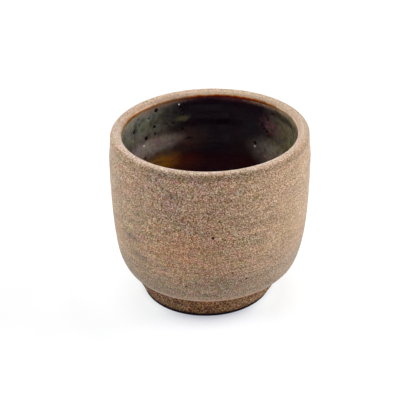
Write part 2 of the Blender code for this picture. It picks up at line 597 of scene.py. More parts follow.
def nearest(place, line, spots):
    """How far away the nearest spot on a wall is, in radii of that spot."""
    reach = FAR
    for angle, height, radius in spots:
        away = vector("DISTANCE", place, on_wall(line, angle, height))
        reach = maths("MINIMUM", reach, maths("DIVIDE", away, radius))
    return reach


def off_axis(place, middle):
    """How far a place is from an upright line through a point."""
    return vector("LENGTH", product(vector("SUBTRACT", place, middle), LEVEL))


# %% [markdown]
# ## Sandy clay
#
# Grog is fired clay, crushed and mixed back in so that the pot dries without cracking. It shows as
# grains of every brown, a fraction of a millimetre across. A Voronoi texture gives each grain one
# random value; most of them stay near the colour of the clay and a few are much lighter or darker.

# %% Grains of sand in clay
RAGGED = 0.6
BRIGHTEN = 2.65
DARKEST = (0.02, 0.02, 0.02)


def sand(place, grain):
    """Brightness of each grain and the height it stands at."""
    ragged = stirred(place, size=grain, amount=grain * RAGGED)
    cells = put("ShaderNodeTexVoronoi", {"Vector": ragged, "Scale": 1 / grain})
    pick = put("ShaderNodeSeparateColor", {"Color": cells["Color"]})["Red"]
    tone = ramp(
        pick,
        (0.00, (0.028, 0.014, 0.007)),
        (0.22, (0.184, 0.149, 0.120)),
        (0.45, (0.348, 0.333, 0.315)),
        (0.68, (0.422, 0.430, 0.438)),
        (0.85, (0.602, 0.655, 0.720)),
        (1.00, (0.752, 0.820, 0.918)),
    )
    height = maths("SUBTRACT", 1.0, cells["Distance"])
    return scaled(tone, BRIGHTEN), times(height, pick)


def browned(speckle, red, blue):
    """The same speckle with dark grains browner and light grains greyer."""
    toned = vector("MULTIPLY_ADD", speckle, (red, 1, blue), (1 - red, 0, 1 - blue))
    return vector("MAXIMUM", toned, DARKEST)


# %% [markdown]
# ## The stoneware of the bowl
#
# The bare wall is not one brown. Fire and iron leave it warmer on the belly and greyer on its
# shoulder, and hands leave a few dark smudges. Painted shade darkens it just under the lip, on the
# left and above the foot, and painted light makes it paler on the right. A painted image could hold
# all this, but a recipe of washes stays sharp from close up, and each wash can be thinned on its own.
# Wide washes come first, then the soft patches and smudges that have a place of their own on the wall.

# %% Washes on the wall
SOFT = 0.1
OLIVE = (1000, (0.245, 0.184, 0.106))
PINK = (2000, (0.290, 0.168, 0.126))


def washes(colour, place, blurred):
    """Wide changes of colour: a warm belly, a grey shoulder, painted shade under the lip, painted
    light on the right and painted shade on the left and low down.
    """
    x = xyz(place)[0]
    across, _, up = xyz(blurred)
    shoulder = on_wall(OUTSIDE, -162, 62)
    shade_under_lip = on_wall(OUTSIDE, -153, 66.8)
    colour = dab(colour, blurred, (0, 0, 35), (90, 90, 12), 0.55, (0.324, 0.182, 0.096), 0.2)
    colour = dab(colour, blurred, shoulder, (22, 16, 13), 0.35, (0.290, 0.202, 0.156), SOFT)
    # Painted shade just under the lip.
    colour = dab(colour, blurred, shade_under_lip, (15, 15, 7), 0.3, (0.190, 0.128, 0.098), SOFT)
    for shift, paint in (OLIVE, PINK):
        spot = noise(vector("ADD", blurred, (shift, shift, shift)), 1 / 6, detail=3.0)
        spot = times(fade(spot, 0.5, 0.7, 0.0, 0.6), fade(x, 4, 24, 1.0, 0.5))
        colour = over(spot, colour, paint)
    # Painted light and shade: duller on the left and low down, paler on the right, also low on the
    # right.
    left = fade(across, -8, -30, 0.0, 0.35)
    right = times(fade(across, -6, 20), fade(up, 26, 40), 0.6)
    low = fade(up, 30, 23, 0.0, 0.55)
    shade_low_left = times(fade(across, -6, -22), fade(up, 26, 16), 0.75)
    low_band = times(fade(up, 40, 30), fade(up, 17, 27, 0.3, 1.0))
    light_low_right = times(fade(across, 4, 20), low_band, 0.38)
    return coats(
        colour,
        (left, (0.262, 0.199, 0.128)),
        (right, (0.370, 0.257, 0.163)),
        (low, (0.212, 0.156, 0.108)),
        (shade_low_left, (0.186, 0.121, 0.076)),
        (light_low_right, (0.345, 0.247, 0.175)),
    )


# %% Blooms and smudges on the wall
SOFT_PATCHES = (  # degrees, mm up, mm wide, mm high, strength, colour
    (-162, 36.0, 17.0, 15.0, 0.60, (0.345, 0.195, 0.110)),
    (178, 40.5, 13.0, 7.0, 0.35, (0.225, 0.134, 0.084)),
    (-156, 31.0, 13.0, 5.0, 0.40, (0.355, 0.232, 0.145)),
    (-159, 57.5, 14.0, 6.0, 0.35, (0.215, 0.150, 0.112)),
)
SMUDGE = (0.162, 0.110, 0.084)
SMUDGES = (  # degrees, mm up, mm wide, mm high, slope, strength
    (-128, 37.3, 9.5, 3.2, 0.0, 0.75),
    (-135, 30.3, 8.0, 2.6, 0.25, 0.95),
    (-158, 62.1, 7.0, 2.4, 0.75, 0.65),
    (-152, 28.6, 6.0, 2.0, 0.25, 0.3),
)


def patches_and_smudges(colour, place, blurred):
    """Soft lighter, darker and warmer patches at places of their own, then smudges that slope the way
    a thumb does.
    """
    for angle, height, wide, high, strength, paint in SOFT_PATCHES:
        middle = on_wall(OUTSIDE, angle, height)
        colour = dab(colour, blurred, middle, (wide, wide, high), strength, paint, SOFT)
    rubbed = stirred(place, size=5, amount=1.5)
    x = xyz(place)[0]
    for angle, height, wide, high, slope, strength in SMUDGES:
        tilted = vector("ADD", rubbed, arrow(z=times(x, slope)))
        middle = on_wall(OUTSIDE, angle, height)
        middle.z += slope * middle.x
        colour = dab(colour, tilted, middle, (wide, wide, high), strength, SMUDGE, SOFT)
    return colour


# %% [markdown]
# ## Streaks and grains of the wall
#
# A turning tool drags grains along and leaves faint level streaks. The same noise does for both:
# squeezed in height it's a streak, left round and very small it's dust. The grains are softened
# towards white a little on both sides and low on the belly.

# %% Streaks and grains
GRAIN = 0.28
STREAK = (0.07, 0.07, 0.8)
FLAT_DRIFT = (1, 1, 1.4)


def streaks_and_grains(place):
    """Tints of the streaks and of the speckle, and the height of the grains."""
    x, _, z = xyz(place)
    dragged = product(stirred(place, size=15, amount=1.0), STREAK)
    streaks = dusty(dragged, size=1.0, swing=1.05, hue=0.15, detail=3.0)
    drift = drifting(product(place, FLAT_DRIFT), size=4, swing=0.65)
    drift = over(fade(x, 4, 24, 0.0, 0.6), drift, WHITE)
    grains, height = sand(place, GRAIN)
    # The grains fade towards white on both sides and low on the belly.
    worn = maths("ADD", fade(x, -14, -34, 0.0, 0.15), fade(x, 6, 34, 0.0, 0.34))
    worn = maths("ADD", fade(z, 50, 30, 0.0, 0.20), worn)
    grains = over(worn, grains, WHITE)
    dust = dusty(place, size=0.19, swing=2.6, hue=0.05)
    speckle = product(grains, dust, drift)
    return streaks, browned(speckle, red=0.91, blue=1.14), height


# %% [markdown]
# ## The wiped lip
#
# A wet sponge run round the lip leaves it smooth and pale. Its colour is painted palest at the back,
# where it faces the light, and paler on its right, with a painted highlight along its front crest.
# Painted shade darkens its shoulder, which the light only grazes, its back, its corners and a little
# of both sides. Its masks are measured from the cup's top and from the middle of the lip's half round,
# so the shading goes where the rim goes.

# %% Lip
LIP_RADIUS = LIP_CENTRE.x / MM
LIP_LEAN = Vector((LEAN * TOP / 2, 0, 0))


def lip_place(place):
    """Where a place is on the lip: its numbers, its radius, and two masks."""
    x, y, z = xyz(place)
    radius = off_axis(place, LIP_LEAN)
    inner_half = fade(radius, LIP_RADIUS + 0.4, LIP_RADIUS - 0.4)
    near_top = fade(z, TOP - 4.0, TOP - 3.0)
    return SimpleNamespace(x=x, y=y, z=z, radius=radius, inner_half=inner_half, near_top=near_top)


def lip_colour(at, clouds, speckle):
    """The wiped clay, its grains softened most on the inner side, painted paler at the back and on the
    right, with a painted highlight on the front crest.
    """
    inward = maths("SUBTRACT", LIP_RADIUS, at.radius)
    blush = times(fade(inward, 0.4, 1.6), fade(at.x, -6, -16), fade(at.y, 0, 10), 0.45)
    colour = coats(
        ramp(clouds, (0.35, (0.252, 0.188, 0.140)), (0.65, (0.298, 0.222, 0.166))),
        # Painted light: paler at the back and on the right; a painted highlight on the front crest.
        (fade(at.y, 0, 32, 0.0, 0.85), (0.375, 0.279, 0.199)),
        (fade(at.x, 12, 34, 0.0, 0.35), (0.333, 0.244, 0.178)),
        (fade(at.y, -8, -26, 0.0, 0.8), (0.308, 0.231, 0.177)),
        (blush, (0.300, 0.182, 0.128)),
    )
    return product(colour, over(fade(inward, 0.4, 1.8, 0.3, 0.6), speckle, WHITE))


def lip_painted_shade(at):
    """Painted shade on the lip: 1 apart from its shoulder, its back, its corners and both sides, which
    are darker.
    """
    shoulder = times(
        fade(at.z, TOP - 0.10, TOP - 0.95),
        fade(at.z, TOP - 4.2, TOP - 1.8),
        fade(at.radius, LIP_RADIUS, LIP_RADIUS + 0.3),
        fade(at.x, -10, 25, 0.32, 0.20),
        fade(at.x, -36, -14, 0.2, 1.0),
    )
    crown = fade(at.radius, LIP_RADIUS - 1.8, LIP_RADIUS - 0.1)
    behind = times(at.near_top, crown, fade(at.y, -2, 20), 0.24)
    aside = maths("ABSOLUTE", at.x)
    corners = times(fade(aside, 4, 14), fade(aside, 34, 28), fade(at.y, 4, 16))
    corners = times(at.inner_half, at.near_top, corners, 0.13)
    shade = maths("MAXIMUM", maths("MAXIMUM", shoulder, behind), corners)
    light = scaled(WHITE, maths("SUBTRACT", 1.0, shade))
    left = times(at.near_top, fade(at.x, -26, -34))
    right = times(at.near_top, fade(at.x, 26, 34))
    right_light = over(at.inner_half, (0.87, 0.85, 0.83), (1.00, 0.99, 0.98))
    light = product(light, over(right, WHITE, right_light))
    return product(light, over(left, WHITE, (0.96, 0.96, 0.96)))


# %% [markdown]
# ## The whole stoneware
#
# The washes, the streaks and the grains multiply into one sandy colour. The lip goes over it, then a
# rust stain at the left, a paler, warmer band along the edge of the ledge, and spots where a grain of
# iron melted.
# A touch of sheen brightens the wall towards its sides, as a dusty, unglazed surface does.

# %% Stoneware
LEDGE = LEDGE_HEIGHT / MM
IRON_SPOTS = (  # degrees, mm up, mm radius
    (179, 44.9, 0.75), (159, 23.9, 0.55), (-165, 21.3, 0.40), (168, 28.0, 0.45), (100, 40.0, 0.60),
    (40, 52.0, 0.70), (-60, 30.0, 0.60),
)


def stoneware_finish():
    """Bare fired clay."""
    material, place = finish("stoneware")
    blurred = stirred(place, size=12, amount=9)
    clouds = noise(blurred, 1 / 9, detail=3.0)
    colour = ramp(
        clouds,
        (0.30, (0.258, 0.173, 0.119)),
        (0.45, (0.294, 0.181, 0.114)),
        (0.58, (0.310, 0.193, 0.118)),
        (0.72, (0.304, 0.207, 0.143)),
    )
    colour = washes(colour, place, blurred)
    colour = patches_and_smudges(colour, place, blurred)
    streaks, speckle, height = streaks_and_grains(place)
    sandy = product(colour, streaks, speckle)

    at = lip_place(place)
    crest = fade(at.z, TOP - 0.80, TOP - 0.15)
    lip = maths("MAXIMUM", crest, times(at.inner_half, at.near_top))
    painted = over(times(lip, 0.95), sandy, lip_colour(at, clouds, speckle))
    inmost = fade(at.radius, LIP_RADIUS - 1.7, LIP_RADIUS - 2.25)
    stain = times(at.near_top, inmost, fade(at.x, -24, -33), 0.6)
    above = maths("SUBTRACT", at.z, maths("MULTIPLY_ADD", at.x, LEDGE_SKEW, LEDGE))
    # A paler, warmer band along the ledge's edge.
    ledge = times(fade(above, 1.9, 0.7), fade(at.radius, 30, 32), 0.65)
    iron = fade(nearest(place, OUTSIDE, IRON_SPOTS), 0.6, 1.1, 0.95, 0.0)
    # The lip's painted shade multiplies in here.
    painted = coats(
        product(painted, lip_painted_shade(at)),
        (stain, (0.160, 0.082, 0.038)),
        (ledge, (0.45, 0.240, 0.155)),
        (iron, (0.010, 0.005, 0.005)),
    )
    relief = maths("ADD", height, noise(place, 1 / 0.3, detail=3.0))
    return wear(
        material,
        Base_Color=painted,
        Roughness=fade(clouds, 0.3, 0.7, 0.95, 0.82),
        Specular_IOR_Level=0.08,
        Sheen_Weight=0.3,
        Sheen_Roughness=0.35,
        Sheen_Tint=(0.98, 1.0, 0.92),
        Normal=bumped(relief, strength=fade(lip, 0.0, 1.0, 0.55, 0.3), depth=0.2 * MM),
    )


STONEWARE = stoneware_finish()

# %% [markdown]
# ## The bowl
#
# The bowl is the thrown body of the cup: wall, lip and floor in one piece of clay. It could be cut
# out of a solid with Booleans, but a turned profile gives even rings of faces, and the tool marks
# can follow them. The profile runs up the bed that holds the glaze, over the half-round lip, down
# the belly and in under the ledge. The bed is hidden, so its rings are far apart.

# %% Turn the bowl
BED_DEPTH = GLAZE_THICKNESS * 0.8
LIP_SPACING = SHOWN * 0.7


def bowl_line():
    """The profile of the thrown bowl."""
    edge_centre = Vector((LEDGE_RADIUS - LEDGE_EDGE, LEDGE_HEIGHT + LEDGE_EDGE))
    return joined(
        set_back(inside_line(HIDDEN), BED_DEPTH),
        arc(LIP_CENTRE, LIP_ROUND, GLAZE_END_ANGLE, 0.0, LIP_SPACING),
        outside_line(SHOWN),
        arc(edge_centre, LEDGE_EDGE, 0.0, -math.pi / 2, FINE),
        straight(edge_centre - Vector((0, LEDGE_EDGE)), Vector((0, LEDGE_HEIGHT)), UNDER),
    )


bowl = turned(
    "thrown_bowl", bowl_line(), STONEWARE, is_ring=False, segments=448, slip=BOWL_SLIP,
    rings=(0.12, 1.6), dimples=(0.07, 3.0), seed=(0.31, 0.72, 0.11),
)

# %% [markdown]
# ## Grog that stands proud
#
# As the wet surface is wiped, the finest clay washes away and the bigger grains stand out. A particle
# system could scatter them too, but a node tree can pick faces by the way they look and by their
# height. It scatters small, uneven stones over the outside wall and sinks each one most of the way
# in. The stones have 20 faces each, which is plenty for something half a millimetre across.

# %% Build the grog tree
FACING_OUT = 0.35  # 1 faces straight out, 0 straight up or down
SUNK = -0.45  # of a stone's size
FLATTEST = (0.6, 0.6, 0.6)
ROUNDEST = (1.0, 1.0, 1.0)
FULL_TURN = (6.28, 6.28, 6.28)
STONE_FACES = 20


def chance(low, high, seed):
    """A random number for each stone."""
    # A Random Value node has separate sockets for every kind of value, and its seed comes last.
    return put("FunctionNodeRandomValue", {2: low, 3: high, 8: seed}, data_type="FLOAT")[1]


def chances(low, high, seed):
    """Three random numbers for each stone."""
    return put("FunctionNodeRandomValue", {0: low, 1: high, 8: seed}, data_type="FLOAT_VECTOR")[0]


def grog_tree():
    """Stones scattered over the outward faces between two heights."""
    sizes = ["Density", "Smallest", "Largest", "Lowest", "Highest"]
    given = new_tree("scattered_grog", Float=sizes, Int=["Seed"])
    place = put("GeometryNodeInputPosition")["Position"]
    normal = put("GeometryNodeInputNormal")["Normal"]
    height = xyz(place)[2]
    outward = vector("NORMALIZE", product(place, LEVEL))
    facing = vector("DOT_PRODUCT", normal, outward)
    outside = maths("GREATER_THAN", facing, FACING_OUT)
    above = maths("GREATER_THAN", height, given["Lowest"])
    below = maths("LESS_THAN", height, given["Highest"])
    scatter = put("GeometryNodeDistributePointsOnFaces", {
        "Mesh": given["Geometry"],
        "Selection": times(outside, above, below),
        "Density": given["Density"],
        "Seed": given["Seed"],
    })
    size = chance(given["Smallest"], given["Largest"], given["Seed"])
    sunk = scaled(scatter["Normal"], times(size, SUNK))
    set_in = put("GeometryNodeSetPosition", {"Geometry": scatter["Points"], "Offset": sunk})
    stone = put("GeometryNodeMeshIcoSphere", {"Radius": 1.0, "Subdivisions": 1})
    stones = put("GeometryNodeInstanceOnPoints", {
        "Points": set_in["Geometry"],
        "Instance": stone["Mesh"],
        "Rotation": chances((0, 0, 0), FULL_TURN, seed=6),
        "Scale": scaled(chances(FLATTEST, ROUNDEST, seed=5), size),
    })
    tone = {"Geometry": stones["Instances"], "Name": "tone", "Value": chance(0.0, 1.0, seed=7)}
    toned = put("GeometryNodeStoreNamedAttribute", tone, data_type="FLOAT", domain="INSTANCE")
    return end_tree(toned["Geometry"], given["Material"])


GROG = grog_tree()

# %% Scatter the grog
def grog_finish(name, *colours):
    """Stones of several browns: each stone has its own tone, with a little dust on it."""
    material, place = finish(name)
    tone = put("ShaderNodeAttribute", attribute_name="tone")["Fac"]
    dust = about_one(noise(place, 1 / 0.2), swing=0.4)
    colour = scaled(ramp(tone, *colours), dust)
    return wear(material, Base_Color=colour, Roughness=0.9, Specular_IOR_Level=0.2)


def scattered(name, ground, material, per_mm2, sizes, heights, seed):
    """Stones scattered over the outside of another piece, with sizes and heights in mm."""
    stones = new_piece(name, ground.data.copy())
    run_tree(
        stones, GROG, Density=per_mm2 / MM**2, Smallest=sizes[0] * MM, Largest=sizes[1] * MM,
        Lowest=heights[0] * MM, Highest=heights[1] * MM, Seed=seed, Material=material,
    )
    print(name, len(stones.data.polygons) // STONE_FACES, "stones")
    return stones


PALE_GROG = grog_finish(
    "pale_grog",
    (0.00, (0.06, 0.034, 0.022)),
    (0.25, (0.14, 0.085, 0.052)),
    (0.55, (0.28, 0.180, 0.112)),
    (0.80, (0.42, 0.310, 0.215)),
    (1.00, (0.60, 0.480, 0.360)),
)
bowl_grog = scattered(
    "bowl_grog", bowl, PALE_GROG, per_mm2=0.30, sizes=(0.14, 0.32),
    heights=(LEDGE + 0.9, TOP - 2.2), seed=11,
)

# %% [markdown]
# ## The foot ring
#
# The foot is turned when the clay is leather hard, so it's crisper than the wall, and the fire leaves
# it darker. A painted shadow runs along its lowest edge where it meets the floor, it's painted darker
# towards its bottom and on its left, and painted lighter on its right. It could be a part of the
# bowl's profile, but as a ring of its own it has its own clay and may stand a little off the middle,
# as a turned foot does.

# %% Foot clay
FOOT_GRAIN = 0.33
FOOT_MIDDLE = Vector((-LEAN * TOP / 2 - FOOT_SLIP / MM, 0, 0))


def foot_finish():
    """Darker clay, coarser than the wall's, with painted shade low down and on the left, painted light
    on the right, and a painted shadow along its lowest edge.
    """
    material, place = finish("foot_clay")
    x, _, z = xyz(place)
    clouds = noise(stirred(place, size=5, amount=4), 1 / 5, detail=3.0)
    brown = ramp(
        clouds,
        (0.30, (0.128, 0.059, 0.024)),
        (0.50, (0.157, 0.073, 0.029)),
        (0.70, (0.190, 0.090, 0.035)),
    )
    # Painted light on the right of the foot and painted shade on its left.
    colour = coats(
        brown,
        (fade(x, 2, 22, 0.0, 0.6), (0.285, 0.158, 0.076)),
        (fade(x, -4, -20, 0.0, 0.6), (0.140, 0.076, 0.044)),
    )
    grains, height = sand(place, FOOT_GRAIN)
    grains = scaled(product(grains, grains), 0.72)
    mixed = fade(noise(place, 1 / 1.3, detail=3.0), 0.35, 0.65)
    tint = over(mixed, (0.80, 0.86, 1.10), (1.20, 1.14, 0.90))
    dust = dusty(place, size=0.22, swing=1.5, hue=0.25)
    drift = drifting(place, size=1.6, swing=1.6)
    speckle = browned(product(grains, product(dust, drift, tint)), red=0.84, blue=1.08)
    painted = product(colour, speckle)
    # Painted shade, darker towards the bottom of the foot.
    painted = scaled(painted, fade(z, 1.5, 5, 0.80, 1.05))
    # Painted shadow: near black along the lowest outer edge, where the foot meets the floor.
    contact_shadow = times(fade(z, 2.8, 1.3), fade(off_axis(place, FOOT_MIDDLE), 25.2, 25.9))
    painted = over(times(contact_shadow, 0.95), painted, (0.005, 0.003, 0.006))
    relief = maths("ADD", height, noise(place, 1 / 0.35, detail=3.0))
    return wear(
        material,
        Base_Color=painted,
        Roughness=fade(clouds, 0.3, 0.7, 0.95, 0.85),
        Specular_IOR_Level=fade(contact_shadow, 0.0, 1.0, 0.06, 0.0),
        Normal=bumped(relief, strength=0.6, depth=0.3 * MM),
    )


FOOT_CLAY = foot_finish()

# %% Turn the foot ring
LET_IN = 0.05 * MM


def foot_line():
    """The profile of the foot ring, let a hair into the bowl."""
    top = LEDGE_HEIGHT + LET_IN
    outer = Vector((FOOT_BASE_RADIUS - FOOT_EDGE, FOOT_EDGE))
    inner = Vector((FOOT_INSIDE_BASE_RADIUS + FOOT_EDGE, FOOT_EDGE))
    return joined(
        straight(Vector((FOOT_TOP_RADIUS, top)), outer + Vector((FOOT_EDGE, 0)), SHOWN),
        arc(outer, FOOT_EDGE, 0.0, -math.pi / 2, FINE),
        straight(outer - Vector((0, FOOT_EDGE)), inner - Vector((0, FOOT_EDGE)), UNDER),
        arc(inner, FOOT_EDGE, -math.pi / 2, -math.pi, FINE),
        straight(inner - Vector((FOOT_EDGE, 0)), Vector((FOOT_INSIDE_TOP_RADIUS, top)), UNDER),
    )


foot = turned(
    "turned_foot", foot_line(), FOOT_CLAY, is_ring=True, segments=384, slip=FOOT_SLIP,
    rings=(0.10, 1.1), dimples=(0.12, 2.0), seed=(0.83, 0.24, 0.57),
)
BROWN_GROG = grog_finish(
    "brown_grog",
    (0.00, (0.014, 0.006, 0.003)),
    (0.45, (0.060, 0.027, 0.012)),
    (0.70, (0.240, 0.132, 0.072)),
    (1.00, (0.440, 0.335, 0.270)),
)
foot_grog = scattered(
    "foot_grog", foot, BROWN_GROG, per_mm2=0.75, sizes=(0.11, 0.24),
    heights=(1.8, LEDGE - 0.4), seed=12,
)

# %% [markdown]
# ## The dark glaze
#
# Iron glaze is nearly black where it's thick and breaks to grey-green, ash and amber where it ran
# thin. The grey of the breaks on the left and on the right is partly a painted reflection of the white
# surroundings, and a dark band high on the right is a painted shadow of the lip. One noise could strew
# such breaks anywhere. Here they belong to the pot, so they are dabs at places on the wall, and their
# edges are stirred because melted glass never ends in a clean line.

# %% How the glaze ran
LEVEL_RUN = (0.045, 0.045, 0.3)


def glaze_flow(place):
    """Stirred places and random values that all the breaks in the glaze share."""
    run = stirred(place, size=6, amount=4)
    x, y, z = xyz(run)
    wander = maths("SUBTRACT", noise(place, 1 / 12), 0.5)
    return SimpleNamespace(
        place=place,
        run=run,
        easy=stirred(place, size=5, amount=2),
        across=maths("ADD", x, times(wander, fade(y, -6, -22, 0.0, 60))),
        up=z,
        level=noise(product(place, LEVEL_RUN), 1.0, detail=4.0),
        lines=noise(product(run, STREAK), 1.0, detail=3.0),
        cloud=noise(run, 1 / 5, detail=3.0),
        mottle=noise(run, 1 / 2.2, detail=4.0),
    )


def dabs(colour, *rows):
    """Dabs on the inside wall: place, degrees and mm up, size in mm, strength, paint, firmness."""
    for place, spot, size, strength, paint, firm in rows:
        colour = dab(colour, place, on_wall(INSIDE, *spot), size, strength, paint, firm)
    return colour


def thick_glaze(flow):
    """Black with level streaks, bluer at the back and redder towards the floor."""
    streaky = fade(flow.level, 0.30, 0.62)
    colour = over(streaky, (0.0035, 0.0015, 0.0050), (0.0075, 0.0030, 0.0080))
    colour = over(fade(flow.up, 46, 38), colour, (0.021, 0.002, 0.006))
    return dabs(
        colour,
        (flow.run, (30, 56), (11, 11, 15), 0.75, (0.015, 0.014, 0.022), 0.0),
        (flow.easy, (-15, 49.5), (13, 13, 8.5), 0.9, (0.050, 0.019, 0.015), 0.0),
        (flow.easy, (-20, 39), (13, 13, 7), 1.0, (0.080, 0.014, 0.006), 0.0),
    )


# %% Where the glaze breaks, with painted reflection and shadow
def left_breaks_and_reflection(colour, flow):
    """Rows of grey-green and brown on the left, partly a painted reflection of the white surroundings,
    then ash, smoke and amber streaks.
    """
    row = ramp(
        put("ShaderNodeMapRange", {"Value": flow.up, "From Min": 40, "From Max": 70})["Result"],
        (0.00, (0.100, 0.040, 0.010)),
        (0.20, (0.150, 0.098, 0.066)),
        (0.36, (0.205, 0.150, 0.124)),
        (0.48, (0.105, 0.070, 0.060)),
        (0.58, (0.115, 0.106, 0.076)),
        (0.90, (0.146, 0.144, 0.115)),
    )
    # The left rows are partly glaze colour and partly a painted reflection.
    left = times(fade(flow.across, -9, -28), fade(flow.cloud, 0.25, 0.60, 0.45, 1.0))
    colour = over(left, colour, scaled(row, about_one(flow.mottle, swing=1.6)))
    dull = about_one(flow.mottle, swing=1.0)
    ash = scaled((0.245, 0.190, 0.160), dull)
    smoke = scaled((0.270, 0.225, 0.200), dull)
    ashy = fade(flow.level, 0.25, 0.55, 0.27, 0.9)
    amber = fade(flow.lines, 0.32, 0.58, 0.35, 1.0)
    return dabs(
        colour,
        (flow.run, (-40, 50.5), (18, 18, 5.2), ashy, ash, 0.3),
        (flow.easy, (-54, 51.5), (10, 10, 5), 0.7, smoke, 0.1),
        (flow.run, (-35, 41.3), (12, 12, 6.5), amber, (0.335, 0.128, 0.011), 0.0),
    )


def right_breaks_and_shading(colour, flow):
    """A grey and olive break on the right, partly a painted reflection, then a smear, plum, moss, a
    scorch and a painted shadow of the lip.
    """
    # The grey and olive on the right are partly glaze colour and partly a painted reflection.
    olive_and_reflection = patch(flow.easy, on_wall(INSIDE, 56, 47), (20.5, 20.5, 10.5), 0.2)
    right = maths("MAXIMUM", olive_and_reflection, fade(flow.across, 22, 35, 0.0, 0.8))
    right = times(right, fade(flow.mottle, 0.3, 0.6, 0.55, 1.0))
    paint = over(fade(flow.across, 25, 31), (0.225, 0.182, 0.150), (0.196, 0.168, 0.094))
    plum = fade(flow.mottle, 0.36, 0.58)
    return dabs(
        over(right, colour, paint),
        (flow.place, (-14, 49.9), (3.4, 3.4, 1.0), 0.9, (0.008, 0.003, 0.002), 0.0),
        (flow.easy, (46, 59.3), (9, 9, 6), plum, (0.125, 0.052, 0.056), 0.0),
        (flow.easy, (-18.5, 60), (4.5, 4.5, 2.2), 0.9, (0.105, 0.088, 0.045), 0.0),
        (flow.easy, (45.5, 55.8), (4.5, 4.5, 1.7), 0.8, (0.030, 0.012, 0.004), 0.0),
        # Painted shadow: a dark band that the lip casts on the wall high on the right.
        (flow.easy, (60, 65.8), (17, 17, 2.2), 0.75, (0.018, 0.013, 0.012), 0.3),
    )


# %% [markdown]
# ## Thin glaze, pinholes and painted glints
#
# Just below its edge the glaze is so thin that the clay shows through, and it shines less there. Gas
# bubbles that burst in the kiln leave pinholes, each a small pit painted near black as painted shade
# in its hollow, and a few painted white glints beside them stand for the light that catches their
# rims. Their places are kept in two short lists, because the pits are also pressed as shape.

# %% Places of pinholes and painted glints
EDGE = EDGE_BOTTOM / MM
PINHOLES = (  # degrees, mm up, mm radius
    (-39, 66.7, 0.95), (-45, 64.2, 0.45), (-56, 66.2, 0.45), (-40, 59.1, 0.75), (-60.5, 61.7, 0.85),
    (-39.5, 55.8, 0.60), (-47.5, 55.5, 0.90), (-25, 58.1, 0.55), (-19.5, 65.0, 0.75),
    (-18.5, 63.2, 0.60), (-30, 58.5, 0.40), (-18.4, 54.4, 0.50), (-14, 49.9, 0.50),
    (47.9, 65.3, 0.60), (43.9, 61.8, 0.55), (42.8, 56.2, 0.75), (-49, 46.4, 0.55), (33, 49.3, 0.75),
    (70, 61.0, 0.45), (110, 55.0, 0.60), (150, 64.0, 0.60), (-110, 58.0, 0.50), (-150, 52.0, 0.70),
    (175, 45.0, 0.60), (95, 40.0, 0.60),
)
PAINTED_GLINTS = (  # degrees, mm up, mm radius
    (-21, 66.8, 0.44), (-50, 52.6, 0.55), (33, 47.8, 0.45), (120, 50.0, 0.50), (-130, 60.0, 0.60),
)
# The grains of quartz counted here are painted glints.
print(len(PINHOLES), "pinholes and", len(PAINTED_GLINTS), "grains of quartz")

# %% Dark glaze
def thin_glaze(flow):
    """How thin the glaze is below its edge, and the colour that it has there."""
    x, _, z = xyz(flow.easy)
    reach = maths("ADD", fade(x, -8, -28, 2.0, 3.7), fade(x, 25, 33, 0.2, -0.4))
    down = maths("DIVIDE", maths("SUBTRACT", EDGE, z), reach)
    fine = fade(noise(flow.place, 1 / 0.8), 0.3, 0.65, 0.5, 1.1)
    right = over(fade(x, 24, 33), (0.245, 0.132, 0.090), (0.285, 0.212, 0.130))
    left = over(fade(x, -22, -33), (0.190, 0.108, 0.072), (0.225, 0.172, 0.125))
    left = over(fade(down, 0.22, 0.04, 0.0, 0.85), left, (0.130, 0.046, 0.012))
    back = over(fade(x, 3, 12), (0.044, 0.014, 0.019), (0.090, 0.027, 0.030))
    colour = over(fade(x, 13, 21), back, right)
    colour = over(fade(x, -3, -16), colour, left)
    return times(fade(down, 0.05, 1.0, 0.9, 0.0), fine), colour


def glaze_finish():
    """Dark, glossy glaze with all its breaks."""
    material, place = finish("dark_glaze")
    flow = glaze_flow(place)
    colour = right_breaks_and_shading(left_breaks_and_reflection(thick_glaze(flow), flow), flow)
    dust = dusty(place, size=0.9, swing=1.0, hue=0.3, detail=2.0)
    grain = product(dust, drifting(place, size=4, swing=1.0))
    thin, thin_colour = thin_glaze(flow)
    pit = fade(nearest(place, INSIDE, PINHOLES), 0.75, 1.25, 1.0, 0.0)
    painted_glint = fade(nearest(place, INSIDE, PAINTED_GLINTS), 0.6, 1.0, 1.0, 0.0)
    # Pits painted near black as painted shade, and painted glints in near-white.
    colour = coats(
        product(colour, grain),
        (thin, thin_colour),
        (pit, (0.003, 0.002, 0.003)),
        (painted_glint, (0.70, 0.66, 0.64)),
    )
    relief = maths("SUBTRACT", times(flow.cloud, 0.3), pit)
    return wear(
        material,
        Base_Color=colour,
        Roughness=fade(flow.cloud, 0.3, 0.7, 0.10, 0.24),
        Specular_IOR_Level=fade(thin, 0.0, 0.8, 0.5, 0.1),
        Normal=bumped(relief, strength=0.3, depth=0.4 * MM),
    )


DARK_GLAZE = glaze_finish()

# %% Turn the lining
def glaze_line():
    """The profile of the lining: its face, and its hidden back."""
    face = inside_line(SHOWN)
    back = set_back(inside_line(HIDDEN), GLAZE_THICKNESS)
    return joined(face, back[::-1])


glaze = turned(
    "dark_lining", glaze_line(), DARK_GLAZE, is_ring=False, segments=480, slip=BOWL_SLIP,
    rings=(0.16, 3.5), dimples=(0.10, 6.0), seed=(0.15, 0.44, 0.92),
)

# %% [markdown]
# ## Pits of the pinholes
#
# A bump in the finish would shade the pinholes, but it leaves the surface whole when the cup is seen
# close up. So a third tree presses a real pit wherever a point of a helper mesh comes near. Geometry
# Proximity measures the distance to the nearest point, and the surface sinks along its normal.

# %% Press the pits
PIT_RADIUS = 1.1 * MM
PIT_DEPTH = 0.25 * MM
PIT_FLAT = 0.3


